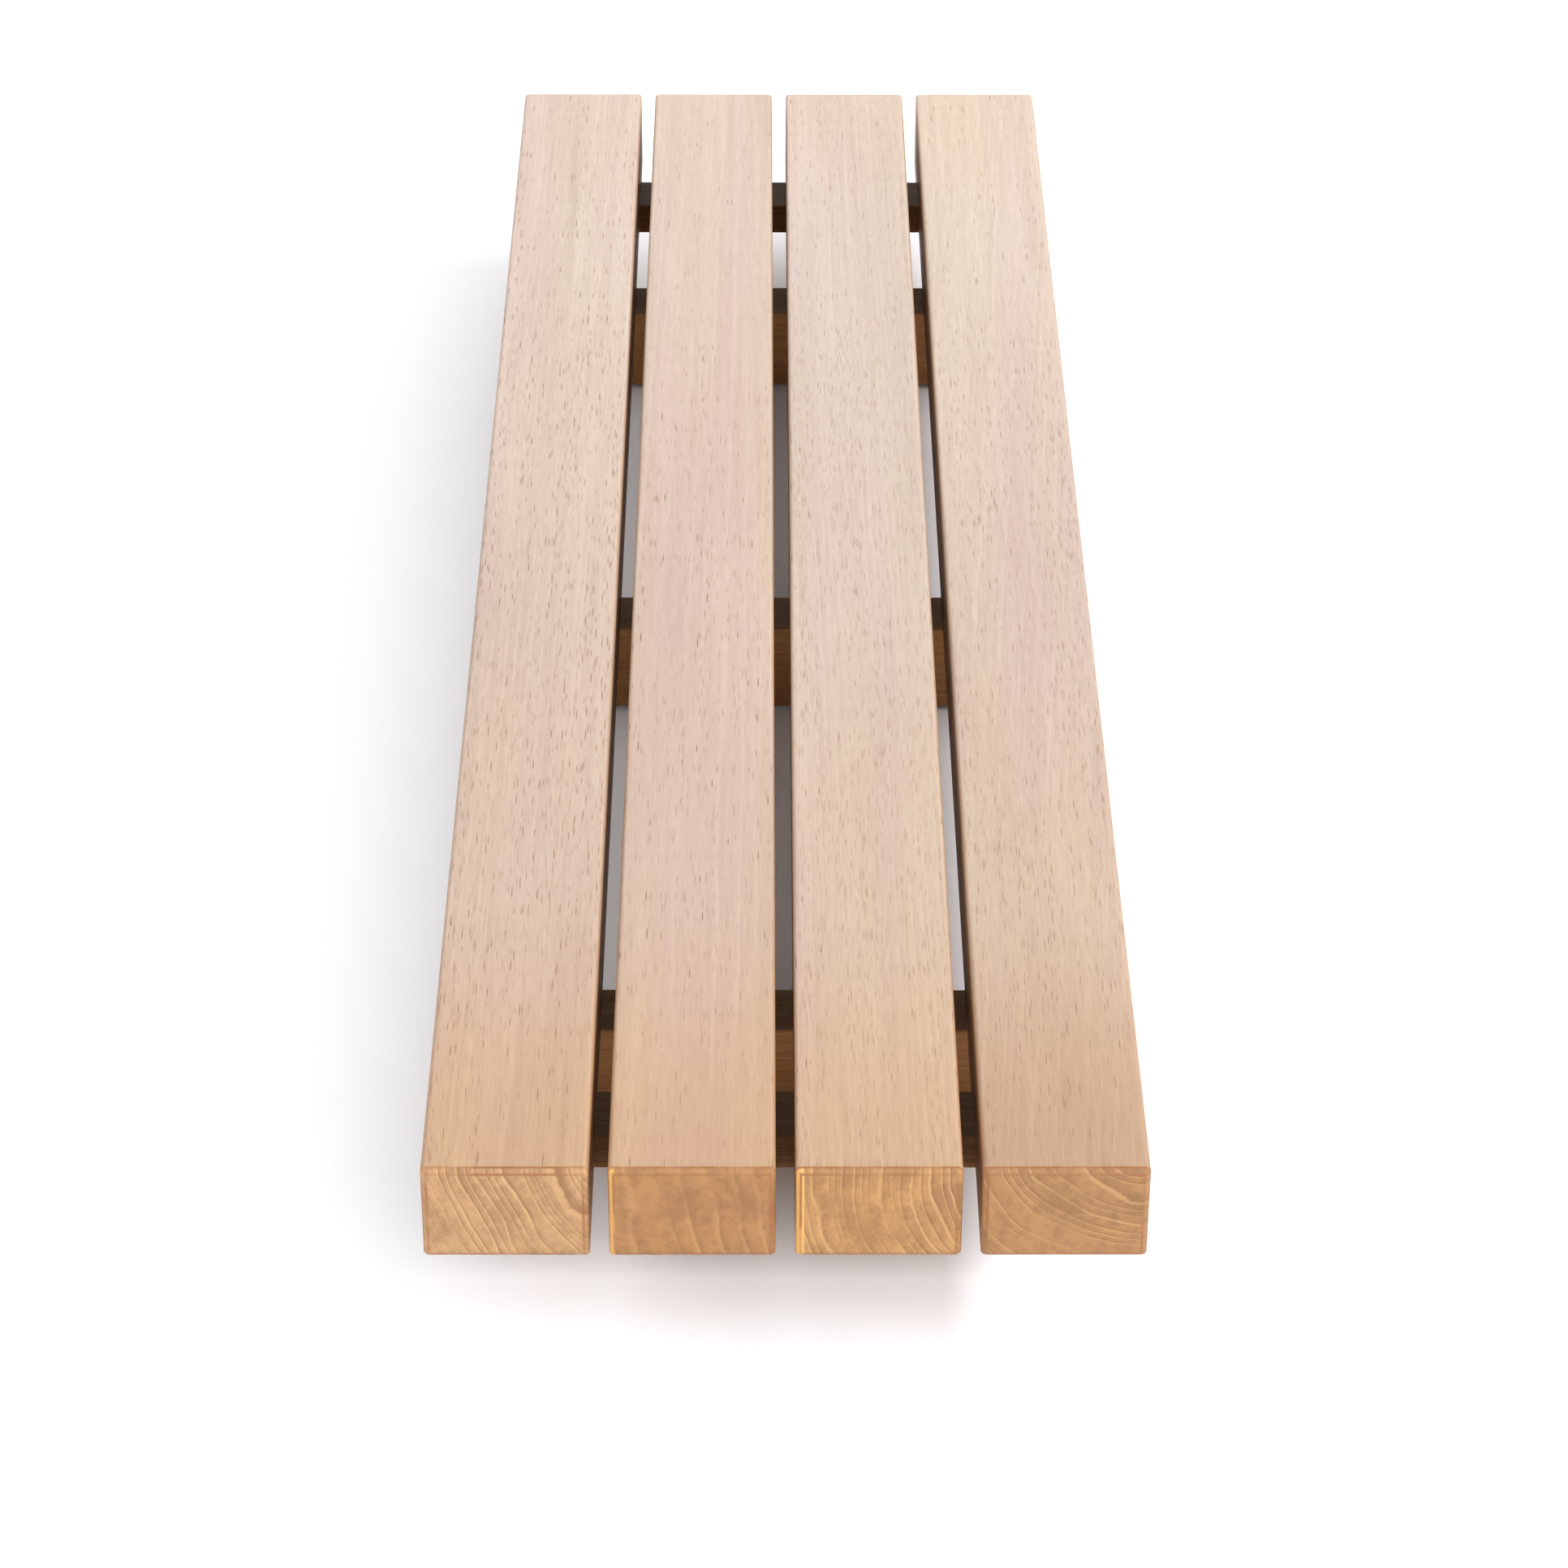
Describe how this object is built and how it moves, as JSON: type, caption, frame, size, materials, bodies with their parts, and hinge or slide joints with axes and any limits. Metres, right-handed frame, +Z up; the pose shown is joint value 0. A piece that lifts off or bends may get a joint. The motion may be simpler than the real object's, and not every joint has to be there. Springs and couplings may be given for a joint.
{
  "type": "slatted bath mat",
  "caption": "Rigid wooden duckboard bath mat of thick lengthwise slats with drain gaps, screwed to crosspieces on low rubber feet.",
  "frame": {"origin": "on the floor, below the middle of the mat", "axes": "+Z up, +Y along the slats from the near end to the far end, +X across the slats to the right"},
  "size_m": [0.261, 0.9, 0.0831],
  "materials": {
    "slat_wood": "pale unvarnished hardwood, planed and fine-sanded, warmer and browner on the end grain",
    "frame_wood": "brown hardwood, planed, unvarnished",
    "screw_steel": "plain stainless steel, satin",
    "foot_rubber": "matt black non-slip rubber"
  },
  "bodies": {
    "root": {"slat_1": "slat_wood", "slat_2": "slat_wood", "slat_3": "slat_wood", "slat_4": "slat_wood", "bearer_near": "frame_wood", "bearer_middle": "frame_wood", "bearer_far": "frame_wood", "end_strip_near": "frame_wood", "end_strip_far": "frame_wood", "bearer_near_screw_1": "screw_steel", "bearer_near_screw_2": "screw_steel", "bearer_near_screw_3": "screw_steel", "bearer_near_screw_4": "screw_steel", "bearer_middle_screw_1": "screw_steel", "bearer_middle_screw_2": "screw_steel", "bearer_middle_screw_3": "screw_steel", "bearer_middle_screw_4": "screw_steel", "bearer_far_screw_1": "screw_steel", "bearer_far_screw_2": "screw_steel", "bearer_far_screw_3": "screw_steel", "bearer_far_screw_4": "screw_steel", "end_strip_near_screw_1": "screw_steel", "end_strip_near_screw_2": "screw_steel", "end_strip_near_screw_3": "screw_steel", "end_strip_near_screw_4": "screw_steel", "end_strip_far_screw_1": "screw_steel", "end_strip_far_screw_2": "screw_steel", "end_strip_far_screw_3": "screw_steel", "end_strip_far_screw_4": "screw_steel", "foot_near_left": "foot_rubber", "foot_near_right": "foot_rubber", "foot_middle_left": "foot_rubber", "foot_middle_right": "foot_rubber", "foot_far_left": "foot_rubber", "foot_far_right": "foot_rubber"}
  },
  "joints": []
}
